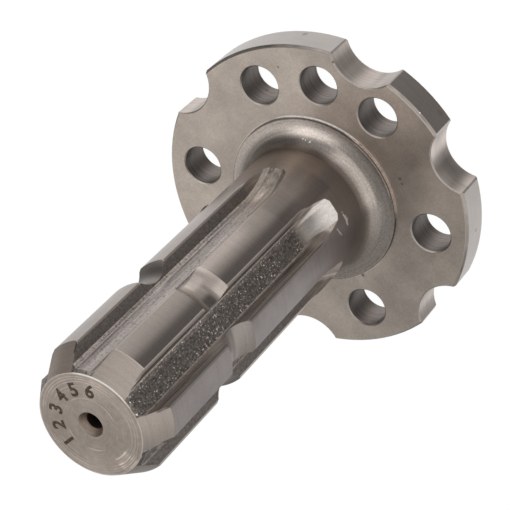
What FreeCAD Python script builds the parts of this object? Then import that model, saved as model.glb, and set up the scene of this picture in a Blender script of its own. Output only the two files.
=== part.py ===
import FreeCAD, Part
import math
import os

import Sketcher

# A flanged drive shaft with six straight-sided splines, turned and milled as one piece.
# Frame: the origin is the middle of the flange's back face, +Z runs up the shaft, and +X
# runs through the first scallop. The flange is the same on both sides of the X axis.

NODE = "flanged_spline_shaft"

# Driving sizes, in millimetres and degrees.
SIZES = [
    # flange disc
    ("flange_diameter", 86.0),
    ("flange_thickness", 9.4),
    ("rim_front_chamfer_width", 0.65),
    ("rim_front_chamfer_depth", 0.8),
    ("rim_back_chamfer", 0.4),
    # low hub on the front face, with the large fillet that runs up into the shaft
    ("hub_height", 0.75),
    ("hub_fillet_radius", 6.0),
    # shaft, from the flange's front face to its end
    ("shaft_diameter", 34.8),
    ("shaft_length", 107.0),
    ("end_chamfer_length", 7.0),
    ("end_chamfer_angle", 30.0),
    # locking groove round the teeth
    ("lock_groove_from_end", 38.0),
    ("lock_groove_radius", 6.8),
    ("lock_groove_bottom_diameter", 29.4),
    # straight-sided splines
    ("tooth_count", 6),
    ("tooth_width", 8.6),
    ("tooth_edge_bevel", 0.5),
    ("first_tooth_angle", 38.5),
    ("root_diameter", 27.7),
    ("root_corner_fill", 0.6),
    # form cutter, which climbs out of the shaft on its way to the flange
    ("cutter_radius", 21.9),
    ("runout_from_flange", 28.5),
    # bolt holes, and the two locating holes that share their circle
    ("bolt_count", 6),
    ("bolt_hole_diameter", 10.7),
    ("bolt_circle_diameter", 66.1),
    ("locating_hole_diameter", 10.4),
    ("hole_edge_break", 0.3),
    # scallops round the rim
    ("scallop_radius", 9.6),
    ("scallop_depth", 5.3),
    ("scallop_edge_break", 0.3),
    ("scallop_corner_break", 0.35),
    # centre holes in both end faces
    ("centre_mouth_diameter", 6.4),
    ("centre_cone_angle", 60.0),
    ("centre_pilot_diameter", 4.2),
    ("centre_pilot_depth", 7.5),
    ("drill_point_angle", 118.0),
]

# Sizes that follow from them.
FLANGE_RADIUS = "(Sizes.flange_diameter / 2)"
SHAFT_RADIUS = "(Sizes.shaft_diameter / 2)"
TOTAL_LENGTH = "(Sizes.flange_thickness + Sizes.shaft_length)"
HUB_RADIUS = "(Sizes.shaft_diameter / 2 + Sizes.hub_fillet_radius)"
HUB_TOP = "(Sizes.flange_thickness + Sizes.hub_height)"
END_FACE_RADIUS = (
    "(Sizes.shaft_diameter / 2 - Sizes.end_chamfer_length * tan(Sizes.end_chamfer_angle))"
)
LOCK_GROOVE_REACH = "(Sizes.lock_groove_bottom_diameter / 2 + Sizes.lock_groove_radius)"
LOCK_GROOVE_HEIGHT = "(Sizes.flange_thickness + Sizes.shaft_length - Sizes.lock_groove_from_end)"
RUNOUT_START = "(Sizes.flange_thickness + Sizes.runout_from_flange)"
CUTTER_AXIS_REACH = "(Sizes.root_diameter / 2 + Sizes.cutter_radius)"
HALF_TOOTH = "(Sizes.tooth_width / 2)"
HALF_TOOTH_PITCH = "(180 / Sizes.tooth_count)"
# Where a tooth's flat flank starts and ends, measured along the tooth's middle line.
FLANK_FOOT = f"(sqrt(pow(Sizes.root_diameter / 2; 2) - pow({HALF_TOOTH}; 2)) + Sizes.root_corner_fill)"
FLANK_HEAD = f"(sqrt(pow({SHAFT_RADIUS}; 2) - pow({HALF_TOOTH}; 2)) - Sizes.tooth_edge_bevel)"
BOLT_PITCH = "(360 / Sizes.bolt_count)"
BOLT_REACH = "(Sizes.bolt_circle_diameter / 2)"
SCALLOP_REACH = "(Sizes.flange_diameter / 2 - Sizes.scallop_depth + Sizes.scallop_radius)"

FULL_TURN = 360.0
QUARTER_TURN = 90.0
BEVEL_ANGLE = 45.0
# How far a cutter's outline reaches past the metal that it cuts.
OVERRUN = 1.0
# Two points closer than this are the same point.
TOUCH = 0.01

# How a sketch numbers the points of a side, and its own two axes.
START, END, CENTRE = range(1, 4)
HORIZONTAL_AXIS, VERTICAL_AXIS = range(-1, -3, -1)
SKETCH_ORIGIN = (HORIZONTAL_AXIS, START)
UPWARD = FreeCAD.Vector(0, 0, 1)


def make_sheet(doc):
    sheet = doc.addObject("Spreadsheet::Sheet", "Sizes")
    for row, (alias, number) in enumerate(SIZES, start=1):
        sheet.set(f"A{row}", alias.replace("_", " "))
        sheet.set(f"B{row}", str(number))
        sheet.setAlias(f"B{row}", alias)
    doc.recompute()


def origin_feature(body, role):
    return next(item for item in body.Origin.OriginFeatures if item.Role == role)


def new_sketch(body, name, plane, lift="0", turn="0", turn_axis=UPWARD):
    # A sketch on one of the body's own planes, lifted along the plane's normal or turned.
    sketch = body.newObject("Sketcher::SketchObject", name)
    sketch.AttachmentSupport = [(origin_feature(body, plane), "")]
    sketch.MapMode = "FlatFace"
    shift = FreeCAD.Vector(0, 0, sketch.evalExpression(lift))
    turned = FreeCAD.Rotation(turn_axis, sketch.evalExpression(turn))
    sketch.AttachmentOffset = FreeCAD.Placement(shift, turned)
    if lift != "0":
        sketch.setExpression(".AttachmentOffset.Base.z", lift)
    if turn != "0":
        sketch.setExpression(".AttachmentOffset.Rotation.Angle", turn)
    return sketch


def tie(sketch, kind, *places):
    # A constraint with no size.
    sketch.addConstraint(Sketcher.Constraint(kind, *places))


def bind(sketch, name, kind, places, expression):
    # A named constraint whose size follows the sheet.
    size = sketch.evalExpression(expression)
    if kind == "Angle":
        size = math.radians(size)
    index = sketch.addConstraint(Sketcher.Constraint(kind, *places, size))
    sketch.renameConstraint(index, name)
    sketch.setExpression(f"Constraints.{name}", expression)


def hold_coordinate(sketch, name, kind, axis, place, expression):
    # A point's distance from the sketch's origin along one axis.
    size = sketch.evalExpression(expression)
    if size == 0:
        tie(sketch, "PointOnObject", *place, axis)
    elif size > 0:
        bind(sketch, name, kind, (*SKETCH_ORIGIN, *place), expression)
    else:
        bind(sketch, name, kind, (*place, *SKETCH_ORIGIN), f"-({expression})")


def hold_point(sketch, name, place, across, up):
    hold_coordinate(sketch, f"{name}_across", "DistanceX", VERTICAL_AXIS, place, across)
    hold_coordinate(sketch, f"{name}_up", "DistanceY", HORIZONTAL_AXIS, place, up)


def sheet_point(sketch, across, up):
    return FreeCAD.Vector(sketch.evalExpression(across), sketch.evalExpression(up), 0)


def draw_outline(sketch, corners):
    # A closed outline of straight sides through named corners, each placed by two
    # expressions. A corner that gives a radius and a centre starts an arc, not a line.
    # Returns where each side starts.
    places = [sheet_point(sketch, across, up) for name, across, up, *arc in corners]
    sides = []
    for index, (name, across, up, *arc) in enumerate(corners):
        here = places[index]
        there = places[(index + 1) % len(places)]
        if arc:
            radius, middle_across, middle_up = arc
            middle = sheet_point(sketch, middle_across, middle_up)
            circle = Part.Circle(middle, UPWARD, sketch.evalExpression(radius))
            first = math.atan2(there.y - middle.y, there.x - middle.x)
            last = math.atan2(here.y - middle.y, here.x - middle.x)
            side = sketch.addGeometry(Part.ArcOfCircle(circle, first, last), False)
            bind(sketch, f"{name}_radius", "Radius", (side,), radius)
            sides.append(((side, END), (side, START)))
        else:
            side = sketch.addGeometry(Part.LineSegment(here, there), False)
            sides.append(((side, START), (side, END)))
    for index, (name, across, up, *arc) in enumerate(corners):
        place, far_end = sides[index]
        near_end = sides[index - 1][1]
        tie(sketch, "Coincident", *near_end, *place)
        hold_point(sketch, name, place, across, up)
    return [place for place, far_end in sides]


def turned(body, kind, name, sketch, axis="V_Axis", angle=FULL_TURN):
    # A sketch turned about one of its own lines, to add metal or to take it away.
    feature = body.newObject(f"PartDesign::{kind}", name)
    feature.Profile = sketch
    feature.ReferenceAxis = (sketch, [axis])
    feature.Angle = angle
    return feature


def ring_pattern(body, name, features, count):
    pattern = body.newObject("PartDesign::PolarPattern", name)
    pattern.Originals = features
    pattern.Axis = (origin_feature(body, "Z_Axis"), [""])
    pattern.Angle = FULL_TURN
    pattern.setExpression("Occurrences", count)
    body.Tip = pattern


def turned_blank(body):
    # Flange, hub, hub fillet, shaft and end chamfer as one half section. The fillet leaves
    # the shaft smoothly and runs out level at the hub's rim.
    sketch = new_sketch(body, "BlankSection", "XZ_Plane")
    fillet = "Sizes.hub_fillet_radius"
    fillet_top = f"{HUB_TOP} + {fillet}"
    draw_outline(sketch, [
        ("back_middle", "0", "0"),
        ("back_edge", f"{FLANGE_RADIUS} - Sizes.rim_back_chamfer", "0"),
        ("rim_back", FLANGE_RADIUS, "Sizes.rim_back_chamfer"),
        ("rim_front", FLANGE_RADIUS, "Sizes.flange_thickness - Sizes.rim_front_chamfer_depth"),
        ("front_edge", f"{FLANGE_RADIUS} - Sizes.rim_front_chamfer_width", "Sizes.flange_thickness"),
        ("hub_foot", HUB_RADIUS, "Sizes.flange_thickness"),
        ("hub_rim", HUB_RADIUS, HUB_TOP, fillet, HUB_RADIUS, fillet_top),
        ("fillet_top", SHAFT_RADIUS, fillet_top),
        ("chamfer_start", SHAFT_RADIUS, f"{TOTAL_LENGTH} - Sizes.end_chamfer_length"),
        ("face_edge", END_FACE_RADIUS, TOTAL_LENGTH),
        ("face_middle", "0", TOTAL_LENGTH),
    ])
    turned(body, "Revolution", "TurnedBlank", sketch)


def lock_groove(body):
    # The round-bottomed groove in which the locking balls of the driven yoke sit.
    sketch = new_sketch(body, "LockGrooveSection", "XZ_Plane")
    middle = sheet_point(sketch, LOCK_GROOVE_REACH, LOCK_GROOVE_HEIGHT)
    radius = sketch.evalExpression("Sizes.lock_groove_radius")
    circle = sketch.addGeometry(Part.Circle(middle, UPWARD, radius), False)
    bind(sketch, "groove_radius", "Radius", (circle,), "Sizes.lock_groove_radius")
    hold_point(sketch, "groove_centre", (circle, CENTRE), LOCK_GROOVE_REACH, LOCK_GROOVE_HEIGHT)
    turned(body, "Groove", "LockGroove", sketch)


def corner_foot(sketch):
    # Where the filled corner at a tooth's root meets the root circle: how far out along the
    # tooth's middle line, and how far to the valley's side.
    root = sketch.evalExpression("Sizes.root_diameter / 2")
    half_tooth = sketch.evalExpression(HALF_TOOTH)
    # The corner's face slopes at 45 degrees, so the two distances add up to the same
    # amount all along it.
    total = sketch.evalExpression(FLANK_FOOT) + half_tooth
    distance = (total + math.sqrt(2 * root ** 2 - total ** 2)) / 2
    return distance, total - distance


def valley_side(sketch, floor, side):
    # One side of a valley, above (side 1) or below (side -1) the sketch's horizontal axis:
    # the filled corner at the tooth's root, the tooth's flat flank, the bevel on its edge
    # and a short line out past the metal. Returns the end of that line.
    label = "upper" if side > 0 else "lower"
    pitch = math.radians(sketch.evalExpression(HALF_TOOTH_PITCH))
    half_tooth = sketch.evalExpression(HALF_TOOTH)
    bevel = sketch.evalExpression("Sizes.tooth_edge_bevel")
    shaft = sketch.evalExpression(SHAFT_RADIUS)

    def beside_tooth(distance, offset):
        # A point so far out along the tooth's middle line and so far to the valley's side.
        across = distance * math.cos(pitch) + offset * math.sin(pitch)
        up = distance * math.sin(pitch) - offset * math.cos(pitch)
        return FreeCAD.Vector(across, side * up, 0)

    foot = sketch.evalExpression(FLANK_FOOT)
    corner_start = beside_tooth(*corner_foot(sketch))
    flank_start = beside_tooth(foot, half_tooth)
    bevel_foot = sketch.evalExpression(FLANK_HEAD)
    bevel_reach = bevel + OVERRUN
    edge_start = beside_tooth(bevel_foot, half_tooth)
    edge_end = beside_tooth(bevel_foot + bevel_reach, half_tooth - bevel_reach)
    outer_end = FreeCAD.Vector(shaft + OVERRUN, edge_end.y, 0)

    corner = sketch.addGeometry(Part.LineSegment(corner_start, flank_start), False)
    flank = sketch.addGeometry(Part.LineSegment(flank_start, edge_start), False)
    edge = sketch.addGeometry(Part.LineSegment(edge_start, edge_end), False)
    outlet = sketch.addGeometry(Part.LineSegment(edge_end, outer_end), False)

    # The floor's arc runs counter-clockwise, so it ends on the upper side.
    tie(sketch, "Coincident", floor, END if side > 0 else START, corner, START)
    tie(sketch, "Coincident", corner, END, flank, START)
    tie(sketch, "Coincident", flank, END, edge, START)
    tie(sketch, "Coincident", edge, END, outlet, START)
    tie(sketch, "Horizontal", outlet)
    slope = f"{side} * ({HALF_TOOTH_PITCH} + {BEVEL_ANGLE})"
    bind(sketch, f"{label}_corner_angle", "Angle", (corner,), slope)
    bind(sketch, f"{label}_half_tooth", "Distance", (*SKETCH_ORIGIN, flank), HALF_TOOTH)
    bind(sketch, f"{label}_flank_angle", "Angle", (flank,), f"{side} * {HALF_TOOTH_PITCH}")
    for name, end, reach in (("flank_start", START, FLANK_FOOT), ("bevel_start", END, FLANK_HEAD)):
        bind(
            sketch, f"{label}_{name}", "Distance", (flank, end, *SKETCH_ORIGIN),
            f"sqrt(pow({reach}; 2) + pow({HALF_TOOTH}; 2))",
        )
    bind(sketch, f"{label}_bevel_angle", "Angle", (edge,), slope)
    bind(
        sketch, f"{label}_bevel_length", "Distance", (edge, START, edge, END),
        f"(Sizes.tooth_edge_bevel + {OVERRUN}) * sqrt(2)",
    )
    bind(
        sketch, f"{label}_outlet", "DistanceX", (*SKETCH_ORIGIN, outlet, END),
        f"{SHAFT_RADIUS} + {OVERRUN}",
    )
    return (outlet, END), outer_end


def valley_outline(sketch):
    # What the form cutter leaves between two teeth, with the valley's middle along the
    # sketch's horizontal axis. Its floor lies on the root circle.
    root = sketch.evalExpression("Sizes.root_diameter / 2")
    distance, offset = corner_foot(sketch)
    half_floor = math.radians(sketch.evalExpression(HALF_TOOTH_PITCH)) - math.atan2(offset, distance)
    circle = Part.Circle(FreeCAD.Vector(0, 0, 0), UPWARD, root)
    floor = sketch.addGeometry(Part.ArcOfCircle(circle, -half_floor, half_floor), False)
    tie(sketch, "Coincident", floor, CENTRE, *SKETCH_ORIGIN)
    bind(sketch, "root_radius", "Radius", (floor,), "Sizes.root_diameter / 2")
    upper_place, upper_end = valley_side(sketch, floor, 1)
    lower_place, lower_end = valley_side(sketch, floor, -1)
    closing = sketch.addGeometry(Part.LineSegment(upper_end, lower_end), False)
    tie(sketch, "Coincident", *upper_place, closing, START)
    tie(sketch, "Coincident", *lower_place, closing, END)


def spline_valleys(body):
    # Each valley is one pass of the form cutter: straight down from the shaft's end, then
    # out round the cutter's own radius, which leaves the curved run-out near the hub.
    turn = f"Sizes.first_tooth_angle + {HALF_TOOTH_PITCH}"
    straight_sketch = new_sketch(body, "ValleySection", "XY_Plane", TOTAL_LENGTH, turn)
    valley_outline(straight_sketch)
    straight = body.newObject("PartDesign::Pocket", "ValleyPass")
    straight.Profile = straight_sketch
    straight.setExpression("Length", f"{TOTAL_LENGTH} - {RUNOUT_START}")

    runout_sketch = new_sketch(body, "RunoutSection", "XY_Plane", RUNOUT_START, turn)
    valley_outline(runout_sketch)
    foot = sheet_point(runout_sketch, CUTTER_AXIS_REACH, f"-{SHAFT_RADIUS}")
    head = sheet_point(runout_sketch, CUTTER_AXIS_REACH, SHAFT_RADIUS)
    axis = runout_sketch.addGeometry(Part.LineSegment(foot, head), True)
    hold_point(runout_sketch, "axis_foot", (axis, START), CUTTER_AXIS_REACH, f"-{SHAFT_RADIUS}")
    hold_point(runout_sketch, "axis_head", (axis, END), CUTTER_AXIS_REACH, SHAFT_RADIUS)
    runout = turned(body, "Groove", "ValleyRunout", runout_sketch, "Axis0", QUARTER_TURN)
    runout.Reversed = True
    ring_pattern(body, "Splines", [straight, runout], "Sizes.tooth_count")


def bore_flange(body, name, reach, radius, edge_break, angle):
    # A round hole through the flange, parallel to its axis, with its front edge broken at
    # 45 degrees. Half its section is drawn beside its own centre line.
    beside = FreeCAD.Vector(0, 1, 0)
    sketch = new_sketch(body, f"{name}Section", "XZ_Plane", turn=angle, turn_axis=beside)
    wall = f"{reach} + {radius}"
    flare = f"{wall} + 2 * {edge_break}"
    below = f"-{edge_break}"
    above = f"Sizes.flange_thickness + {edge_break}"
    sides = draw_outline(sketch, [
        ("axis_below", reach, below),
        ("wall_below", wall, below),
        ("wall_above", wall, f"Sizes.flange_thickness - {edge_break}"),
        ("flare_above", flare, above),
        ("axis_above", reach, above),
    ])
    foot = sheet_point(sketch, reach, below)
    head = sheet_point(sketch, reach, above)
    axis = sketch.addGeometry(Part.LineSegment(foot, head), True)
    tie(sketch, "Coincident", axis, START, *sides[0])
    tie(sketch, "Coincident", axis, END, *sides[-1])
    turned(body, "Groove", name, sketch, "Axis0")


def flange_holes(body):
    # The ring of bolt holes, then a locating hole one bolt pitch to either side of the
    # first scallop, midway between two bolt holes.
    edge_break = "Sizes.hole_edge_break"
    bolt = "Sizes.bolt_hole_diameter / 2"
    bore_flange(body, "BoltHole", BOLT_REACH, bolt, edge_break, f"{BOLT_PITCH} / 2")
    ring_pattern(body, "BoltHoles", [body.Tip], "Sizes.bolt_count")
    locating = "Sizes.locating_hole_diameter / 2"
    for name, angle in (("LeftLocatingHole", BOLT_PITCH), ("RightLocatingHole", f"-{BOLT_PITCH}")):
        bore_flange(body, name, BOLT_REACH, locating, edge_break, angle)


def scallop_angles(body):
    # One scallop for each bolt pitch, midway between two bolt holes. The two that would
    # meet a locating hole sit a quarter of a pitch further from the first scallop.
    count = int(body.evalExpression("Sizes.bolt_count"))
    angles = [f"{number} * {BOLT_PITCH}" for number in range(count)]
    angles[1] += f" + {BOLT_PITCH} / 4"
    angles[-1] += f" - {BOLT_PITCH} / 4"
    return angles


def rim_scallops(body):
    radius = "Sizes.scallop_radius"
    edge_break = "Sizes.scallop_edge_break"
    for number, angle in enumerate(scallop_angles(body), start=1):
        bore_flange(body, f"Scallop{number}", SCALLOP_REACH, radius, edge_break, angle)


def scallop_corners(body):
    # The sharp upright corners where the scallops meet the rim are broken. They are the
    # upright edges that lie on the rim and on a scallop's wall.
    body.Document.recompute()
    flange = body.Tip
    rim = body.evalExpression(FLANGE_RADIUS)
    reach = body.evalExpression(SCALLOP_REACH)
    radius = body.evalExpression("Sizes.scallop_radius")
    axes = [
        FreeCAD.Rotation(UPWARD, body.evalExpression(angle)).multVec(FreeCAD.Vector(reach, 0, 0))
        for angle in scallop_angles(body)
    ]

    def is_corner(edge):
        if not isinstance(edge.Curve, Part.Line) or abs(edge.Curve.Direction.z) < 1 - TOUCH:
            return False
        middle = FreeCAD.Vector(edge.Vertexes[0].X, edge.Vertexes[0].Y, 0)
        on_wall = any(abs(middle.distanceToPoint(axis) - radius) < TOUCH for axis in axes)
        return on_wall and abs(middle.Length - rim) < TOUCH

    corners = [
        f"Edge{number}" for number, edge in enumerate(flange.Shape.Edges, start=1) if is_corner(edge)
    ]
    chamfer = body.newObject("PartDesign::Chamfer", "ScallopCorners")
    chamfer.Base = (flange, corners)
    chamfer.setExpression("Size", "Sizes.scallop_corner_break")


def centre_hole(body, name, face, inward):
    # A lathe centre in an end face: a cone, a short pilot bore and the drill's point.
    sketch = new_sketch(body, f"{name}Section", "XZ_Plane")
    mouth = "Sizes.centre_mouth_diameter / 2"
    pilot = "Sizes.centre_pilot_diameter / 2"
    cone_depth = f"({mouth} - {pilot}) / tan(Sizes.centre_cone_angle / 2)"
    point_depth = f"({pilot}) / tan(Sizes.drill_point_angle / 2)"
    draw_outline(sketch, [
        ("face_middle", "0", face),
        ("mouth_edge", mouth, face),
        ("cone_end", pilot, f"{face} {inward} {cone_depth}"),
        ("pilot_end", pilot, f"{face} {inward} Sizes.centre_pilot_depth"),
        ("point", "0", f"{face} {inward} (Sizes.centre_pilot_depth + {point_depth})"),
    ])
    turned(body, "Groove", name, sketch)


def check_document(doc, body):
    for item in doc.Objects:
        if "Invalid" in item.State or "Error" in item.State:
            raise RuntimeError(f"{item.Name} did not compute: {item.State}")
    if body.Shape.isNull() or not body.Shape.isValid():
        raise RuntimeError(f"the shape of {body.Label} is null or not valid")


def main():
    os.makedirs("parts", exist_ok=True)
    doc = FreeCAD.newDocument("SplineShaft")
    make_sheet(doc)
    body = doc.addObject("PartDesign::Body", "Shaft")
    body.Label = NODE
    body.Placement = FreeCAD.Placement()
    turned_blank(body)
    lock_groove(body)
    spline_valleys(body)
    flange_holes(body)
    rim_scallops(body)
    scallop_corners(body)
    centre_hole(body, "FrontCentre", TOTAL_LENGTH, "-")
    centre_hole(body, "BackCentre", "0", "+")
    doc.recompute()
    check_document(doc, body)
    body.Shape.exportStep(f"parts/{body.Label}.step")
    print(f"{body.Label}: {body.Shape.Volume:.1f} mm3, {len(body.Shape.Faces)} faces")


main()
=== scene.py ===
from math import cos, radians, sin

import bmesh
import bpy
from mathutils import Euler, Matrix, Vector


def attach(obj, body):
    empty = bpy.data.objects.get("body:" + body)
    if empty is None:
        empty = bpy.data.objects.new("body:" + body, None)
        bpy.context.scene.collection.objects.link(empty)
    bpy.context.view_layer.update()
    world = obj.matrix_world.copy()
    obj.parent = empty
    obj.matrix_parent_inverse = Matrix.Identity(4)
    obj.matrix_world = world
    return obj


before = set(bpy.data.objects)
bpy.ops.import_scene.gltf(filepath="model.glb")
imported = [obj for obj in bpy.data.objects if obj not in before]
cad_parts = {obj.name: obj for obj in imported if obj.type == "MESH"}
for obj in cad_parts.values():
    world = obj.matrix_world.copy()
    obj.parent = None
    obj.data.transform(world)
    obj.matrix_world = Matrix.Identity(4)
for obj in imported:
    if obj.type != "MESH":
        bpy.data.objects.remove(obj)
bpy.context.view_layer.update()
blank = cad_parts["flanged_spline_shaft"]
mm = 0.001


# small helpers for objects and node trees

def addObject(name, data):
    made = bpy.data.objects.new(name, data)
    bpy.context.scene.collection.objects.link(made)
    return made


def newMaterial(name):
    material = bpy.data.materials.new(name)
    material.use_nodes = True
    material.node_tree.nodes.clear()
    return material, material.node_tree


def addNode(tree, kind, inputs=None, **settings):
    node = tree.nodes.new(kind)
    for name, value in settings.items():
        setattr(node, name, value)
    for name, value in (inputs or {}).items():
        if isinstance(value, bpy.types.NodeSocket):
            tree.links.new(value, node.inputs[name])
        else:
            node.inputs[name].default_value = value
    return node


def toSurface(tree, shader, output="ShaderNodeOutputMaterial"):
    tree.links.new(shader.outputs[0], addNode(tree, output).inputs["Surface"])


def calc(tree, operation, *values):
    return addNode(tree, "ShaderNodeMath", dict(enumerate(values)), operation=operation).outputs[0]


def fade(tree, value, low, high, start=0.0, end=1.0):
    # smooth step from start at low to end at high
    # it levels off by itself, and a clamp would cost the shader memory
    node = addNode(tree, "ShaderNodeMapRange", {
        "Value": value, "From Min": low, "From Max": high, "To Min": start, "To Max": end,
    }, interpolation_type="SMOOTHSTEP", clamp=False)
    return node.outputs["Result"]


def blendValues(tree, amount, first, second):
    return addNode(tree, "ShaderNodeMix", {"Factor": amount, "A": first, "B": second}).outputs["Result"]


def blendColours(tree, amount, first, second):
    # sockets 6 and 7 are the two colours, output 2 is the blend
    node = addNode(tree, "ShaderNodeMix", {0: amount, 6: first, 7: second}, data_type="RGBA")
    return node.outputs[2]


def compass(azimuth, elevation):
    # the direction that lies so many degrees round from +X and above the floor
    return Vector((cos(radians(elevation)) * cos(radians(azimuth)),
                   cos(radians(elevation)) * sin(radians(azimuth)), sin(radians(elevation))))


# camera

view = {
    "place": (-0.02876, -0.33003, 0.39876),
    "turn": (-33.3055, 28.5229, -149.0686),   # degrees about x, y, z
    "lens": 139.65,
    "sensor": 36,
    "nearest": 0.01,
}
cameraData = bpy.data.cameras.new("photoCamera")
cameraData.lens = view["lens"]
cameraData.sensor_width = view["sensor"]
cameraData.sensor_fit = "HORIZONTAL"
cameraData.clip_start = view["nearest"]
camera = addObject("photoCamera", cameraData)
camera.location = view["place"]
camera.rotation_euler = Euler([radians(angle) for angle in view["turn"]], "XYZ")
bpy.context.scene.camera = camera
print("camera set")


# floor, world and lamps

studio = {
    "white": (1, 1, 1, 1),
    "floorSize": 3.0,
    "floorColour": (0.86, 0.86, 0.86, 1),
    "floorWhite": 0.95,        # how far the camera sees the floor as plain white
    "whiteLevel": 1.03,
    "domeLevel": 0.40,
    "darkest": 0.02,
    # soft patches on the dome: azimuth, elevation, full inside, gone outside (degrees), level
    "patches": [
        (246, -4, 13, 106, 0.73),      # pale wall on the camera's side
        (-15, -83, 19, 78, 0.95),      # white table below
        (253, -47, 2, 50, -1.30),      # the table in the camera's shade
        (2, -7, 15, 38, -0.28),        # dark end of the room
    ],
    # azimuth, elevation, distance, width, power
    "lamps": [
        ("keyLamp", 339, 51, 1.8, 1.53, 10.5),
        ("backLamp", 54, 44, 1.8, 1.45, 3.5),
    ],
}

world = bpy.data.worlds.new("paleStudio")
bpy.context.scene.world = world
world.use_nodes = True
tree = world.node_tree
tree.nodes.clear()
ray = addNode(tree, "ShaderNodeLightPath")
direction = addNode(tree, "ShaderNodeTexCoord").outputs["Generated"]
level = studio["domeLevel"]
for azimuth, elevation, inner, outer, strength in studio["patches"]:
    towards = addNode(tree, "ShaderNodeVectorMath", {0: direction, 1: compass(azimuth, elevation)},
                      operation="DOT_PRODUCT").outputs["Value"]
    patch = fade(tree, towards, cos(radians(outer)), cos(radians(inner)), 0, strength)
    level = calc(tree, "ADD", patch, level)
level = calc(tree, "MAXIMUM", level, studio["darkest"])
level = blendValues(tree, ray.outputs["Is Camera Ray"], level, 1.0)      # plain white to the camera
backdrop = addNode(tree, "ShaderNodeBackground", {"Color": studio["white"], "Strength": level})
toSurface(tree, backdrop, "ShaderNodeOutputWorld")

floorMesh = bmesh.new()
bmesh.ops.create_grid(floorMesh, x_segments=1, y_segments=1, size=studio["floorSize"] / 2)
floorData = bpy.data.meshes.new("floor")
floorMesh.to_mesh(floorData)
floorMesh.free()
floor = addObject("floor", floorData)
floorPaint, tree = newMaterial("paleFloor")
matt = addNode(tree, "ShaderNodeBsdfDiffuse", {"Color": studio["floorColour"]})
glow = addNode(tree, "ShaderNodeEmission", {"Color": studio["white"], "Strength": studio["whiteLevel"]})
ray = addNode(tree, "ShaderNodeLightPath")
seen = calc(tree, "MULTIPLY", ray.outputs["Is Camera Ray"], studio["floorWhite"])
toSurface(tree, addNode(tree, "ShaderNodeMixShader", {0: seen, 1: matt.outputs[0], 2: glow.outputs[0]}))
floorData.materials.append(floorPaint)
floor.visible_glossy = False      # steel reflects the dome's pale table instead
floor.visible_shadow = False

for name, azimuth, elevation, distance, size, power in studio["lamps"]:
    lampData = bpy.data.lights.new(name, "AREA")
    lampData.shape = "DISK"
    lampData.size = size
    lampData.energy = power
    lamp = addObject(name, lampData)
    aim = compass(azimuth, elevation)
    lamp.location = aim * distance
    lamp.rotation_euler = aim.to_track_quat("Z", "Y").to_euler()
print("studio set")


# steel, one material with a look for each place

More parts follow.
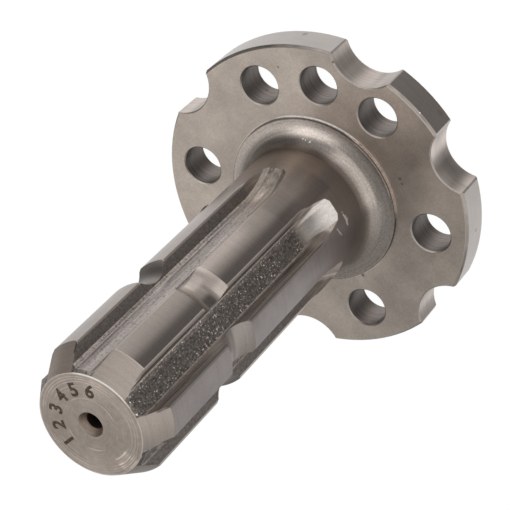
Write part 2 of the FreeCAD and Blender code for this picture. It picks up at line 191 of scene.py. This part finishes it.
turned = {"turningLines": 0.08, "grain": 0.06}      # how strongly the patterns show on turned steel
steel = {
    "colour": (0.37, 0.333, 0.302),
    "roughness": 0.38,
    "grainHeight": 0.004,      # mm
    "turningHeight": 0.003,
    "tornHeight": 0.07,
    "ringFineness": 2.4,       # of the turning lines, per mm
    "ringDrift": 0.9,          # how much they change on the way round
    "patternSpread": 0.22,     # a pattern reaches its full share this far from its middle level
    "edge": 0.02,              # how near to a surface its own place begins (mm)
    "soft": 0.04,              # and how softly
    # the part's own sizes (mm) and turns (degrees from +X)
    "flangeTop": 9.4,
    "flangeRadius": 43,
    "scallopDeepest": 37,
    "boltCircle": 33.05,
    "boltRadius": 5.35,
    "firstBolt": 30,
    "boltPitch": 60,
    "pinTurn": 60,             # the locating holes, to both sides of +X
    "hubRadius": 23.4,
    "hubHeight": 0.75,
    "filletTop": 16.2,
    "neckFoot": 17,
    "shaftRadius": 17.4,
    "firstTooth": 38.5,        # a tooth's middle line
    "toothPitch": 60,
    "toothHalf": 4.3,
    "runout": (25.9, 37.9),    # heights where the cutter leaves the shaft and where it is at full depth
    "groove": (72.9, 83.9),
    "coneStart": 109.4,
    "coneRadius": 13,          # at the end
    "end": 116.4,
    "centreMouth": 3.2,
    "centrePilot": 2.2,
    # how fine each pattern is along x, y and z (per mm), its detail and its roughness
    "patterns": {
        "grain": ((2.2, 2.2, 2.2), 3, 0.5),
        "cloud": ((0.11, 0.11, 0.11), 3, 0.6),
        "millLines": ((0.10, 0.10, 2.2), 3, 0.6),
        "wallBands": ((0.22, 0.22, 0.03), 1, 0.5),
        "longLines": ((1.5, 1.5, 0.05), 3, 0.6),
        "chips": ((1.7, 1.7, 1.3), 3, 0.6),
        "glints": ((2.3, 2.3, 1.7), 1.5, 0.5),
        "strokes": ((0.9, 0.9, 1.0), 2.5, 0.5),
        "clumps": ((0.35, 0.35, 0.25), 1, 0.5),
        "stains": ((0.7, 0.7, 0.7), 3, 0.65),
        "ringGaps": ((0.16, 0.16, 0.16), 2, 0.5),
    },
    # how much lighter each place is than the plain steel (red, green, blue), how rough it is,
    # and how strongly each pattern shows on it
    "places": {
        "plate": ((1.42, 1.37, 1.32), 0.42, {"cloud": 0.15, "grain": 0.10}),
        # painted shade on the flange face's right side
        "plateShadedRight": ((1.14, 1.09, 1.04), 0.45, {"cloud": 0.15, "grain": 0.10}),
        "rim": ((0.88, 0.89, 0.92), 0.34, {"millLines": 0.05, "cloud": 0.06}),
        # painted shade on one side of the rim
        "rimShade": ((0.56, 0.55, 0.55), 0.50, {"millLines": 0.08, "grain": 0.08}),
        # drill marks, with painted shade darkening the hole walls
        "shadedBore": ((0.34, 0.325, 0.325), 0.45, {"millLines": 0.34}),
        "scallop": ((1.00, 0.97, 0.97), 0.36, {"millLines": 0.18, "wallBands": 0.403}),
        "fillet": ((1.06, 1.04, 1.03), 0.36, {"turningLines": 0.18, "grain": 0.20}),
        # painted shade: the hub's low wall is painted dark
        "hubWallShade": ((0.30, 0.295, 0.305), 0.45, {"grain": 0.3}),
        "neck": ((0.70, 0.68, 0.70), 0.38, turned),
        "neckBrown": ((0.68, 0.64, 0.61), 0.38, turned),
        "toothTop": ((0.84, 0.81, 0.83), 0.35, turned),
        # painted shade on the right tooth's top
        "shadedRightTooth": ((0.515, 0.505, 0.54), 0.35, {**turned, "cloud": 0.12}),
        # painted light across the middle tooth
        "toothLight": ((0.81, 0.78, 0.78), 0.35, turned),
        # painted shade on the middle tooth's right half
        "middleToothShade": ((0.40, 0.38, 0.38), 0.38, turned),
        "cone": ((1.02, 0.98, 0.96), 0.42, turned),
        # painted light on the cone's left side
        "coneShade": ((1.35, 1.27, 1.22), 0.42, turned),
        "bevel": ((0.95, 0.92, 0.90), 0.38, {"longLines": 0.15}),
        # painted shade on the left bevels
        "shadedLeftBevels": ((0.40, 0.38, 0.37), 0.45, {"longLines": 0.15}),
        # painted shade on the right tooth's bevels
        "shadedRightBevels": ((0.45, 0.435, 0.435), 0.40, {"longLines": 0.15}),
        "groove": ((0.72, 0.71, 0.71), 0.38, turned),
        # painted light on the middle tooth's groove
        "grooveLight": ((0.92, 0.89, 0.88), 0.36, turned),
        "flank": ((0.52, 0.49, 0.48), 0.42, {"longLines": 0.65, "grain": 0.14}),
        "grainyFlank": ((0.59, 0.58, 0.59), 0.45, {"chips": 0.30, "grain": 0.15}),
        "floor": ((0.40, 0.39, 0.39), 0.45, {"chips": 0.55, "grain": 0.2}),
        "smoothFloor": ((0.85, 0.83, 0.85), 0.40, {"longLines": 0.45, "grain": 0.22}),
        # painted shade in the smooth valley's root corner
        "shadedSmoothRoot": ((0.66, 0.63, 0.63), 0.45, {"longLines": 0.45, "grain": 0.22, "chips": 0.4}),
        # painted highlight along the valleys' roots
        "rootHighlight": ((1.10, 1.06, 1.04), 0.40, {"chips": 0.40, "longLines": 0.2}),
        "runoutDull": ((0.88, 0.84, 0.81), 0.38, {"longLines": 0.30}),
        # painted highlight on the low run-out
        "litLowRunout": ((1.25, 1.20, 1.17), 0.38, {"longLines": 0.15}),
        # painted highlight: the run-outs' bright reflection
        "runout": ((1.75, 1.78, 1.84), 0.32, {"longLines": 0.10, "grain": 0.10}),
        # painted shade at the sides of the lit run-outs
        "runoutShadedSide": ((0.72, 0.70, 0.70), 0.38, {"longLines": 0.2}),
        "runoutStreak": ((1.35, 1.28, 1.24), 0.36, {"longLines": 0.5, "grain": 0.2}),
        "face": ((1.14, 1.09, 1.05), 0.42, {**turned, "stains": 0.12}),
        "centreCone": ((0.80, 0.72, 0.66), 0.45, {"turningLines": 0.15, "grain": 0.10}),
        # painted shade inside the centre's pilot hole
        "shadedCentreBore": ((0.20, 0.17, 0.15), 0.60, {}),
    },
    # where the special sides of the part begin and end, and how softly (degrees from +X);
    # None is an open end
    "sides": {
        # where the rim's painted shade lies
        "rimShade": (-112, -80, 3),
        "hubEdgeRight": (-140, -97, 8),
        "hubEdgeFront": (-84, -38, 9),
        "hubWallRight": (-138, -92, 12),
        "hubWallFront": (-80, -42, 8),
        "footLight": (-125, -93, 8),
        "footDark": (-85, -10, 6),
        "filletLit": (-128, -84, 12),
        "filletShaded": (-78, -5, 12),
        "neckBrown": (-78, -20, 14),
        # where the neck's painted shade lies
        "neckShade": (-96, -81, 4),
        "middleTooth": (-97, -67, 1),      # the tooth that the light falls across
        "rightTooth": (-161, -122, 1),
        "leftCone": (-40, -5, 1),
        "leftBevels": (-55, -18, 1),
        "middleBevel": (-99, -93, 1),
        "streakyFlanks": (-145, -85, 2),
        "rightFlank": (-135, -115, 2),
        "leftFlank": (-51, -21, 1),
        "smoothValley": (-81.5, -21.5, 1),
        # where the run-outs carry a painted highlight
        "litRunouts": (-141, -82, 1),
        "cutStreak": (-52, -46, 3),
        "ringSide": (-165, -75, 20),
        "lowerEdge": (-100, -50, 15),
        "plateShadeFrom": (-130, None, 60),
        "plateShadeTo": (None, -100, 55),
        "toothShade": (None, -89, 9),
        "toothLeft": (-73, None, 10),
        "toothMost": (-85, None, 6),
        "grooveRight": (None, -91, 7),
        "grooveMost": (None, -82, 6),
        "grooveLeft": (-74, None, 6),
        "lowRunout": (None, -142, 1),
    },
    # fine lines, mostly painted highlights and shade along edges and on the sides the light falls on, and the
    # end face's turning rings: along what, from, to, softness (mm), where, how much lighter
    "lines": {
        "plate": [
            ("reach", 23.50, 23.75, 0.08, "all", 1.3),
            ("reach", 23.40, 23.52, 0.08, "right", 1.5),
            ("reach", 23.40, 23.70, 0.12, "front", 2.9),
        ],
        "hub": [
            ("height", 9.5, 10.1, 0.05, "wallRight", 6.0),
            ("height", 9.42, 9.7, 0.05, "wallFront", 4.0),
            ("reach", 17.8, 19.0, 0.9, "lit", 1.5),
            ("reach", 20.0, 20.5, 0.8, "lit", 0.78),
            ("reach", 17.3, 19.0, 0.9, "shaded", 0.68),
            ("reach", 22.8, 23.0, 0.12, "footLight", 2.2),
            ("reach", 23.1, 23.35, 0.12, "footDark", 0.42),
            ("height", 24, 35, 3, "neck", 0.78),
        ],
        "tooth": [
            ("height", 59, 73, 9, "left", 1.36),
            ("height", 37, 42, 4, "most", 0.77),
        ],
        "cone": [
            ("height", 109.3, 109.6, 0.08, "middle", 1.35),
        ],
        "groove": [
            ("height", 72.9, 75.0, 0.8, "right", 1.45),
            ("height", 76.8, 79.4, 0.9, "right", 0.42),
            ("height", 75.7, 76.2, 0.4, "most", 0.72),
            ("height", 75.0, 78.4, 0.8, "left", 1.4),
            ("height", 72.9, 77.0, 0.8, "rightTooth", 1.2),
            ("height", 78.2, 83.9, 0.8, "rightTooth", 0.7),
        ],
        "face": [
            ("reach", 6.7, 6.9, 0.08, "broken", 1.5),
            ("reach", 9.9, 10.1, 0.08, "broken", 1.3),
            ("reach", 11.0, 11.15, 0.08, "broken", 1.4),
            ("reach", 11.7, 11.85, 0.08, "broken", 1.5),
            ("reach", 12.3, 12.45, 0.08, "broken", 1.4),
            ("reach", 10.5, 10.7, 0.10, "side", 1.25),
            ("reach", 11.3, 11.5, 0.10, "side", 1.3),
            ("reach", 12.0, 12.15, 0.10, "side", 1.35),
            ("reach", 13.1, 13.4, 0.08, "all", 1.45),
            ("reach", 12.95, 13.4, 0.08, "lower", 1.9),
        ],
    },
    # soft places of painted light and shade: x, y, z, size (mm), how much lighter
    "lightAndShadeSpots": {
        "plate": [
            (-3, -39, 9.4, 15, 1.45), (-36, -14, 9.4, 9, 0.92), (-33, 8, 9.4, 16, 0.78),
            (-27, -5, 9.4, 13, 0.80), (-24, -26, 9.4, 12, 1.32), (23, -24, 9.4, 12, 1.18),
            (-9, 34, 9.4, 10, 0.80), (14, 36, 9.4, 9, 1.2), (24, 9, 9.4, 10, 0.87),
            (-18, 18, 9.4, 9, 0.85), (-19, -33, 9.4, 7, 1.25), (25, 24, 9.4, 9, 1.17),
        ],
        "scallop": [(-21.5, -31.8, 3, 8, 0.45), (-15.2, -36.8, 5, 5, 0.72), (-27, -32.8, 3, 4, 1.3)],
        "turned": [(-6, -18.5, 11.5, 17, 0.72), (13, -16, 10.8, 6, 1.2), (-15, -9, 21, 7, 0.72)],
        "face": [
            (-7, -9, 116.4, 7, 1.15), (-8, 10, 116.4, 9, 1.28), (4, -11, 116.4, 8, 1.28),
            (3, -4, 116.4, 4, 1.12), (5, 7, 116.4, 6, 0.92),
        ],
    },
    # marks of handling: x, y, z, size (mm), kind
    "marks": [
        (11.3, -15.0, 12.3, 0.32, "nick"), (10.6, -15.4, 12.4, 0.25, "nick"),
        (9.4, -16.0, 12.6, 0.35, "nick"), (-8.7, -15.1, 24.1, 0.25, "nick"),
        (-9.4, -14.65, 24.0, 0.42, "nick"), (-9.95, -14.25, 23.75, 0.6, "nick"),
        (-10.6, -13.8, 23.5, 0.65, "nick"), (-11.1, -13.4, 23.7, 0.5, "nick"),
        (-11.6, -12.95, 23.6, 0.35, "nick"), (-10.7, -13.75, 28.6, 0.26, "nick"),
        (-11.1, -13.4, 28.35, 0.3, "nick"), (-11.5, -13.05, 28.1, 0.32, "nick"),
        (-11.9, -12.7, 27.75, 0.3, "nick"), (-12.3, -12.3, 27.4, 0.26, "nick"),
        (-7.4, -42.3, 8.7, 0.22, "nick"), (27.5, -25.0, 9.4, 0.35, "dirt"),
        (-13.9, -23.3, 9.4, 0.5, "dirt"), (-15.1, -22.5, 9.4, 0.4, "dirt"),
        (27.4, -11.3, 2.2, 0.4, "dirt"), (17.1, -37.2, 9.3, 0.4, "dirt"),
        (-22.4, 8.8, 9.4, 0.6, "dirt"), (-10.9, -41.6, 2.4, 1.1, "rust"),
        (27.8, -32.8, 2.1, 0.9, "rust"), (-36.6, -22.5, 4.0, 0.7, "rust"),
        (-3.2, -0.3, 116.4, 0.45, "rust"),
    ],
    # their colour, roughness and strength
    "markLooks": {
        "nick": ((0.95, 0.93, 0.90, 1), 0.30, 0.75),
        "dirt": ((0.07, 0.06, 0.05, 1), 0.60, 0.6),
        "rust": ((0.16, 0.09, 0.05, 1), 0.60, 0.35),
    },
    "markDrawing": 0.85,       # marks are a little longer than wide
    # painted shade on the middle tooth's bevel
    "middleBevelShade": 0.6,
    # painted light on one side's flanks
    "rightFlankLight": 1.35,
    # where a pattern begins and ends to show, and what it gives at both
    # levels of the painted glints
    "glintAlone": (0.65, 0.71, 0, 4.5),
    "glintAtStroke": (0.50, 0.58),
    "strokeEdge": (0.004, 0.016, 4.5, 0),
    "clumpLevels": (0.36, 0.62, 0.35, 1.3),
    "pitLevels": (0.34, 0.44, 0.55, 1.0),
    "ringGapLevels": (0.42, 0.60),
    # the hole walls' painted light comes from this side
    "boreLitSide": 125,          # the side of each hole's wall that is lightest, degrees from +X
    # painted light and shade on a hole's wall, by how far it faces that side: from, to, level at both
    "boreShades": [(0.62, 0.96, 1, 1.6), (-0.1, 0.4, 0.75, 1)],
    # the end face's painted sheen, a bright sector across the turning rings: middle, half width, softness
    # (degrees)
    "paintedSheen": (173, 9, 7),
    "sheenReach": (9.6, 12.8, 0.6),      # mm
    "sheenLines": (0.40, 0.60, 0.4, 1.0),
    "sheenVary": 1.76,
    "sheenStrength": 0.5,
}

metal, tree = newMaterial("machinedSteel")
place = addNode(tree, "ShaderNodeTexCoord").outputs["Object"]
spot = addNode(tree, "ShaderNodeVectorMath", {0: place, 1: (1 / mm, 1 / mm, 1 / mm)},
               operation="MULTIPLY").outputs[0]      # millimetres
x, y, z = addNode(tree, "ShaderNodeSeparateXYZ", {0: spot}).outputs


def product(*values):
    result = values[0]
    for value in values[1:]:
        result = calc(tree, "MULTIPLY", result, value)
    return result


def total(*values):
    result = values[0]
    for value in values[1:]:
        result = calc(tree, "ADD", result, value)
    return result


def without(value):
    return calc(tree, "SUBTRACT", 1.0, value)


def distance(across, along):
    return calc(tree, "SQRT", total(product(across, across), product(along, along)))


def above(value, low, soft):
    return fade(tree, value, low - soft, low)


def below(value, high, soft):
    return fade(tree, value, high, high + soft, 1, 0)


def band(value, low, high, soft):
    return product(above(value, low, soft), below(value, high, soft))


def side(name):
    low, high, soft = steel["sides"][name]
    if low is None:
        return below(bearing, high, soft)
    if high is None:
        return above(bearing, low, soft)
    return band(bearing, low, high, soft)


def foldAround(first, pitch):
    # degrees from the nearest of a ring of middle lines
    moved = calc(tree, "ADD", bearing, 360 - first + pitch / 2)
    return calc(tree, "SUBTRACT", calc(tree, "MODULO", moved, pitch), pitch / 2)


def scaled(value, amount):
    return addNode(tree, "ShaderNodeVectorMath", {0: value, "Scale": amount}, operation="SCALE").outputs[0]


def pattern(name):
    # made when it is first asked for
    if name not in made:
        fineness, detail, rough = steel["patterns"][name]
        vector = addNode(tree, "ShaderNodeVectorMath", {0: spot, 1: fineness},
                         operation="MULTIPLY").outputs[0]
        made[name] = addNode(tree, "ShaderNodeTexNoise", {
            "Vector": vector, "Scale": 1.0, "Detail": detail, "Roughness": rough}).outputs[0]
    return made[name]


def vary(name, amount):
    # lightens and darkens by a share
    node = addNode(tree, "ShaderNodeMapRange", {
        "Value": pattern(name),
        "From Min": 0.5 - steel["patternSpread"], "From Max": 0.5 + steel["patternSpread"],
        "To Min": 1 - amount, "To Max": 1 + amount}, clamp=False)
    return node.outputs["Result"]


def lighten(where, level):
    global colour
    colour = scaled(colour, blendValues(tree, where, 1.0, level))


def paint(name, mask, shades=(), paintedGlints=None):
    # lays a place's colour and roughness over the rest, and adds painted glints where they are given
    global colour, roughness
    tint, rough, patterns = steel["places"][name]
    own = [share * amount for share, amount in zip(steel["colour"], tint)]
    looks = [vary(chosen, amount) for chosen, amount in patterns.items()] + list(shades)
    if looks:
        look = product(*looks)
        own = scaled(own, total(look, paintedGlints) if paintedGlints else look)
    else:
        own = (*own, 1)
    colour = blendColours(tree, mask, colour, own)
    roughness = blendValues(tree, mask, roughness, rough)


def drawLines(region, where):
    for along, low, high, soft, name, level in steel["lines"][region]:
        value = z if along == "height" else reach
        lighten(product(where[name], band(value, low, high, soft)), level)


# soft spots of painted light and shade
def paintLightAndShade(region, where):
    for cloudX, cloudY, cloudZ, size, level in steel["lightAndShadeSpots"][region]:
        away = addNode(tree, "ShaderNodeVectorMath", {0: spot, 1: (cloudX, cloudY, cloudZ)},
                       operation="DISTANCE").outputs["Value"]
        lighten(where, fade(tree, away, 0, size, level, 1.0))


reach = distance(x, y)
turnAround = calc(tree, "ARCTAN2", y, x)
bearing = calc(tree, "DEGREES", turnAround)          # -180 to 180 degrees from +X
edge, soft = steel["edge"], steel["soft"]
plateTop, hubRadius, end = steel["flangeTop"], steel["hubRadius"], steel["end"]
shaftRadius, toothHalf = steel["shaftRadius"], steel["toothHalf"]
runoutFoot, runoutHead = steel["runout"]

# turning lines run round the axis, so they are drawn by height and reach
around = steel["ringDrift"]
ringPlace = addNode(tree, "ShaderNodeCombineXYZ", {
    0: product(reach, steel["ringFineness"]), 1: product(z, steel["ringFineness"]),
    2: product(calc(tree, "COSINE", turnAround), around)}).outputs[0]
turningLines = addNode(tree, "ShaderNodeTexNoise", {
    "Vector": ringPlace, "W": product(calc(tree, "SINE", turnAround), around),
    "Scale": 1.0, "Detail": 3, "Roughness": 0.6}, noise_dimensions="4D").outputs[0]
made = {"turningLines": turningLines}
colour = scaled(steel["colour"], product(*(vary(name, amount) for name, amount in turned.items())))
roughness = steel["roughness"]

# the flange's front
onPlate = product(above(z, plateTop - edge, soft), below(z, plateTop + edge, soft),
                  above(reach, hubRadius + edge, soft))
paint("plate", onPlate)
# painted shade: the flange face's right side is painted darker
paint("plateShadedRight", product(onPlate, side("plateShadeFrom"), side("plateShadeTo")))
# painted highlights: light lines on the flange face round the hub's foot
drawLines("plate", {
    "all": onPlate, "right": product(onPlate, side("hubEdgeRight")),
    "front": product(onPlate, side("hubEdgeFront")),
})
paintLightAndShade("plate", onPlate)

# its rim, scallops and holes
onRim = product(above(reach, steel["flangeRadius"] - 0.05, 0.05), below(z, plateTop - 0.8, 0.1))
paint("rim", onRim)
# painted shade: one side of the rim is painted dark
paint("rimShade", product(onRim, side("rimShade")))
boltCircle, boltRadius = steel["boltCircle"], steel["boltRadius"]
fromBoltLine = foldAround(steel["firstBolt"], steel["boltPitch"])
boltTurn = calc(tree, "RADIANS", calc(tree, "SUBTRACT", bearing, fromBoltLine))
fromBolt = (calc(tree, "SUBTRACT", x, product(calc(tree, "COSINE", boltTurn), boltCircle)),
            calc(tree, "SUBTRACT", y, product(calc(tree, "SINE", boltTurn), boltCircle)))
pinX, pinY = (boltCircle * turn(radians(steel["pinTurn"])) for turn in (cos, sin))
fromPin = (calc(tree, "SUBTRACT", x, pinX), calc(tree, "SUBTRACT", y, product(calc(tree, "SIGN", y), pinY)))
toBolt, toPin = distance(*fromBolt), distance(*fromPin)
insideFlange = band(z, 0.1, plateTop - 0.32, 0.05)
lightX, lightY = (turn(radians(steel["boreLitSide"])) for turn in (cos, sin))
# each hole's wall is painted dark as shade, and lighter towards one side as painted light
for toHole, (across, along) in ((toBolt, fromBolt), (toPin, fromPin)):
    lean = calc(tree, "DIVIDE", total(product(across, lightX), product(along, lightY)), boltRadius)
    paint("shadedBore", product(insideFlange, below(toHole, boltRadius + 0.1, 0.1)),
          [fade(tree, lean, *shade) for shade in steel["boreShades"]])
nearHole = below(calc(tree, "MINIMUM", toBolt, toPin), boltRadius + 0.1, 0.1)
inScallop = product(insideFlange, band(reach, steel["scallopDeepest"], steel["flangeRadius"] - 0.12, 0.05),
                    without(nearHole))
paint("scallop", inScallop)
paintLightAndShade("scallop", inScallop)

# the hub, its fillet and the neck
hubTop = plateTop + steel["hubHeight"]
onHubWall = product(band(z, plateTop + 0.05, hubTop + 0.03, 0.05), above(reach, hubRadius - 0.07, 0.05))
onFillet = product(band(z, hubTop - 0.05, steel["filletTop"], 0.2), below(reach, hubRadius - 0.1, 0.1))
onNeck = product(above(z, steel["neckFoot"], 4), below(z, runoutHead, 1),
                 above(reach, shaftRadius - edge, soft))
paint("fillet", onFillet)
# painted shade: the hub's low wall is painted dark
paint("hubWallShade", onHubWall)
paint("neck", onNeck)
paint("neckBrown", product(onNeck, side("neckBrown"), below(z, 22, 8)))
# painted light and shade: the fillet's lit and shaded bands, light on the hub's wall, a light and a dark line
# at its foot, and a darker neck
drawLines("hub", {
    "wallRight": product(onHubWall, side("hubWallRight")),
    "wallFront": product(onHubWall, side("hubWallFront")),
    "lit": product(onFillet, side("filletLit")), "shaded": product(onFillet, side("filletShaded")),
    "footLight": product(onFillet, side("footLight")), "footDark": product(onFillet, side("footDark")),
    "neck": product(onNeck, side("neckShade")),
})
paintLightAndShade("turned", calc(tree, "MAXIMUM", onFillet, onNeck))

# the teeth
toothTurn = calc(tree, "RADIANS", foldAround(steel["firstTooth"], steel["toothPitch"]))
offMiddle = calc(tree, "ABSOLUTE", product(reach, calc(tree, "SINE", toothTurn)))
middleTooth = side("middleTooth")
onTop = product(above(z, runoutHead + 6, runoutHead - runoutFoot + 10), below(z, steel["coneStart"], 0.2),
                below(offMiddle, toothHalf - 0.6, 0.2), above(reach, shaftRadius - edge, soft))
onMiddle = product(onTop, middleTooth)
paint("toothTop", onTop)
# painted shade: the right tooth's top is painted darker
paint("shadedRightTooth", product(onTop, side("rightTooth")))
# painted light across the middle tooth, with painted shade on its right half and painted highlight and shade
# bands along it
paint("toothLight", onMiddle)
paint("middleToothShade", product(onMiddle, side("toothShade")))
drawLines("tooth", {
    "left": product(onMiddle, side("toothLeft")), "most": product(onMiddle, side("toothMost")),
})
onShaft = band(z, runoutFoot - 2, end - 0.05, 0.05)
inValley = product(onShaft, above(offMiddle, toothHalf - edge, soft),
                   below(reach, shaftRadius - 0.10, 0.07))
onCone = product(band(z, steel["coneStart"] + 0.1, end - 0.05, 0.1),
                 above(reach, steel["coneRadius"] + 0.2, 0.2), without(inValley))
paint("cone", onCone)
# painted light on the cone's left side, and a painted highlight line where the cone starts on the middle
# tooth
paint("coneShade", product(onCone, side("leftCone")))
drawLines("cone", {"middle": product(onCone, middleTooth)})
onBevel = product(onShaft, band(offMiddle, toothHalf - 0.48, toothHalf - 0.03, 0.05),
                  below(reach, shaftRadius - 0.35, 0.30), above(reach, 16, 0.5))
paint("bevel", onBevel)
# painted shade: bevels on the left, on the right tooth and on the middle tooth are painted darker
paint("shadedLeftBevels", product(onBevel, side("leftBevels")))
paint("shadedRightBevels", product(onBevel, side("rightTooth")))
lighten(product(onBevel, side("middleBevel")), steel["middleBevelShade"])

# the locking groove
inGroove = product(band(z, *steel["groove"], 0.1), below(offMiddle, toothHalf - 0.1, 0.06),
                   below(reach, shaftRadius - 0.05, 0.03))
middleGroove = product(inGroove, middleTooth)
paint("groove", inGroove)
# painted light on the middle tooth's groove, with painted highlight and shadow bands, and painted shade on
# the right tooth's groove
paint("grooveLight", middleGroove)
drawLines("groove", {
    "right": product(middleGroove, side("grooveRight")),
    "most": product(middleGroove, side("grooveMost")),
    "left": product(middleGroove, side("grooveLeft")),
    "rightTooth": product(inGroove, side("rightTooth")),
})

# the valleys: one was cut smooth, the rest are torn, with painted glints
pastFlank = above(offMiddle, toothHalf + 0.12, 0.07)
onFloor = product(inValley, pastFlank)
onFlank = product(inValley, without(pastFlank))
paint("grainyFlank", onFlank)
paint("flank", product(onFlank, side("streakyFlanks")))
# painted light: flanks on one side are painted lighter
lighten(product(onFlank, side("rightFlank")), steel["rightFlankLight"])
# painted glints: bright specks and strokes painted into the torn floors' colour
fromStroke = calc(tree, "ABSOLUTE", calc(tree, "SUBTRACT", pattern("strokes"), 0.5))
strokeGlints = product(fade(tree, fromStroke, *steel["strokeEdge"]),
                    fade(tree, pattern("glints"), *steel["glintAtStroke"]))
paintedGlints = product(total(fade(tree, pattern("glints"), *steel["glintAlone"]), strokeGlints),
                 fade(tree, pattern("clumps"), *steel["clumpLevels"]))
paint("floor", onFloor, paintedGlints=paintedGlints)
smoothValley = side("smoothValley")
smoothFloor = product(onFloor, smoothValley)
pits = fade(tree, pattern("chips"), *steel["pitLevels"])
paint("smoothFloor", smoothFloor, [pits])
# painted shade: the smooth valley's root corner is painted darker
paint("shadedSmoothRoot", product(smoothFloor, below(offMiddle, toothHalf + 0.6, 0.2)), [pits])
# painted highlight: a light line along the roots
atRoot = product(inValley, band(offMiddle, toothHalf, toothHalf + 0.18, 0.08), below(reach, 14.5, 0.3))
paint("rootHighlight", product(atRoot, without(product(smoothValley, 0.5))))
tornFloor = product(onFloor, without(smoothValley), above(z, runoutHead + 2, 3))

# where the cutter left the shaft, with painted highlights on the lit run-outs and painted shade at their
# sides
inRunout = product(inValley, below(z, runoutHead - 4, 7))
paint("runoutDull", inRunout)
# painted highlight on the low run-out
paint("litLowRunout", product(inRunout, side("lowRunout")))
# painted highlight on the run-outs, with painted shade at their sides
litRunouts = product(inRunout, side("litRunouts"))
paint("runout", litRunouts)
paint("runoutShadedSide", product(litRunouts, below(offMiddle, toothHalf + 0.4, 0.3)))
paint("runoutStreak", product(inRunout, side("cutStreak")))
paint("grainyFlank", product(onFlank, side("leftFlank")))

# the end face and its lathe centre
onFace = product(above(z, end - edge, soft), above(reach, steel["centreMouth"], 0.05))
paint("face", onFace)
# turning rings, with painted highlights at the face's edge and on one side of it
drawLines("face", {
    "all": onFace, "broken": product(onFace, fade(tree, pattern("ringGaps"), *steel["ringGapLevels"])),
    "side": product(onFace, side("ringSide")), "lower": product(onFace, side("lowerEdge")),
})
# painted sheen: the turning rings light up in one sector
middle, halfWidth, softness = steel["paintedSheen"]
paintedSheen = product(onFace, band(foldAround(middle, 360), -halfWidth, halfWidth, softness),
                   band(reach, *steel["sheenReach"]), fade(tree, turningLines, *steel["sheenLines"]))
shine = product(paintedSheen, vary("turningLines", steel["sheenVary"]), steel["sheenStrength"])
colour = scaled(colour, total(shine, 1.0))
paintLightAndShade("face", onFace)
inCentre = product(below(reach, steel["centreMouth"] - 0.05, 0.05), above(z, end / 2, 1))
paint("centreCone", inCentre)
# painted shade: the pilot hole is painted nearly black
paint("shadedCentreBore", product(inCentre, below(reach, steel["centrePilot"] - 0.05, 0.05)))

# marks of handling
drawing = steel["markDrawing"]
drawnOut = addNode(tree, "ShaderNodeVectorMath", {0: spot, 1: (1, 1, drawing)},
                   operation="MULTIPLY").outputs[0]
for markX, markY, markZ, size, kind in steel["marks"]:
    markColour, markRough, strength = steel["markLooks"][kind]
    away = addNode(tree, "ShaderNodeVectorMath", {0: drawnOut, 1: (markX, markY, markZ * drawing)},
                   operation="DISTANCE").outputs["Value"]
    amount = fade(tree, product(away, vary("chips", 0.3)), size * 0.5, size, strength, 0)
    colour = blendColours(tree, amount, colour, markColour)
    roughness = blendValues(tree, amount, roughness, markRough)

height = total(product(pattern("grain"), steel["grainHeight"]), product(turningLines, steel["turningHeight"]),
               product(pattern("chips"), steel["tornHeight"], tornFloor))
bump = addNode(tree, "ShaderNodeBump", {"Strength": 1.0, "Distance": mm, "Height": height})
toSurface(tree, addNode(tree, "ShaderNodeBsdfPrincipled", {
    "Base Color": colour, "Metallic": 1.0, "Roughness": roughness, "Normal": bump.outputs[0]}))
for slot in range(len(blank.data.materials)):
    blank.data.materials[slot] = metal
print("steel painted")


# figures on the end face

figures = {
    "text": "123456",
    "first": 79,               # degrees from +X to the middle of the first one
    "step": -27.8,
    "reach": 8.9,
    "size": 4.7,
    "stroke": 0.16,            # how much the strokes are thickened
    "depth": 0.02,
    "colour": (0.062, 0.036, 0.022, 1),
    "wornColour": (0.15, 0.105, 0.08, 1),
    "wornFineness": 1500,      # per metre
    "roughness": 0.7,
    "metallic": 0.2,
}
joined = bmesh.new()
for number, figure in enumerate(figures["text"]):
    writing = bpy.data.curves.new("figure", "FONT")
    writing.body = figure
    writing.size = figures["size"]
    writing.bevel_depth = figures["stroke"]
    writing.bevel_resolution = 0
    writing.align_x = "CENTER"
    writing.align_y = "CENTER"
    writer = addObject("figure", writing)
    bpy.context.view_layer.update()
    shape = bpy.data.meshes.new_from_object(writer.evaluated_get(bpy.context.evaluated_depsgraph_get()))
    bpy.data.objects.remove(writer)
    azimuth = figures["first"] + number * figures["step"]
    middle = compass(azimuth, 0) * figures["reach"]
    middle.z = steel["end"]
    flatten = Matrix.Scale(figures["depth"] / figures["stroke"], 4, (0, 0, 1))
    upright = Matrix.Rotation(radians(azimuth - 90), 4, "Z")
    shape.transform(Matrix.Scale(mm, 4) @ Matrix.Translation(middle) @ upright @ flatten)
    joined.from_mesh(shape)
bmesh.ops.recalc_face_normals(joined, faces=joined.faces)
figureMesh = bpy.data.meshes.new("endFigures")
joined.to_mesh(figureMesh)
joined.free()
endFigures = addObject("endFigures", figureMesh)
etch, tree = newMaterial("burntEtch")
place = addNode(tree, "ShaderNodeTexCoord").outputs["Object"]
wear = addNode(tree, "ShaderNodeTexNoise", {
    "Vector": place, "Scale": figures["wornFineness"], "Detail": 3.0}).outputs[0]
etchColour = blendColours(tree, fade(tree, wear, 0.45, 0.75), figures["colour"], figures["wornColour"])
toSurface(tree, addNode(tree, "ShaderNodeBsdfPrincipled", {
    "Base Color": etchColour, "Roughness": figures["roughness"], "Metallic": figures["metallic"]}))
figureMesh.materials.append(etch)
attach(endFigures, "root")
print("figures added")

bpy.context.scene.view_settings.view_transform = "Standard"
bpy.context.view_layer.update()
